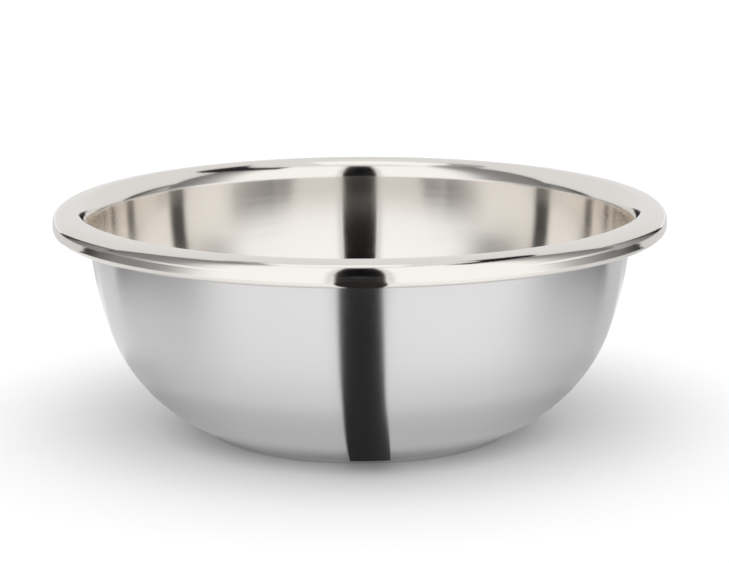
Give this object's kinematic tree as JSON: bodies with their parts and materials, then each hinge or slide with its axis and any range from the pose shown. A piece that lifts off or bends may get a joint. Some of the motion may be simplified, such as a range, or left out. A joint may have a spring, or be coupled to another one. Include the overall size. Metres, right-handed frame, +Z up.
{
  "type": "mixing bowl",
  "caption": "Round stainless-steel mixing bowl with a wide rolled rim and a flat base, polished inside and satin outside.",
  "frame": {"origin": "centre of the flat base, on the surface that the bowl stands on", "axes": "+Z up along the bowl's axis, through the middle of the mouth; X and Y are alike, because the bowl is round"},
  "size_m": [0.3, 0.3, 0.1115],
  "materials": {
    "bowl_steel": "mirror polished inside and over the rim, fine satin brushed around the outside of the wall",
    "wire_steel": "drawn steel wire, dull"
  },
  "bodies": {
    "root": {"bowl_shell": "bowl_steel", "rim_wire": "wire_steel"}
  },
  "joints": []
}
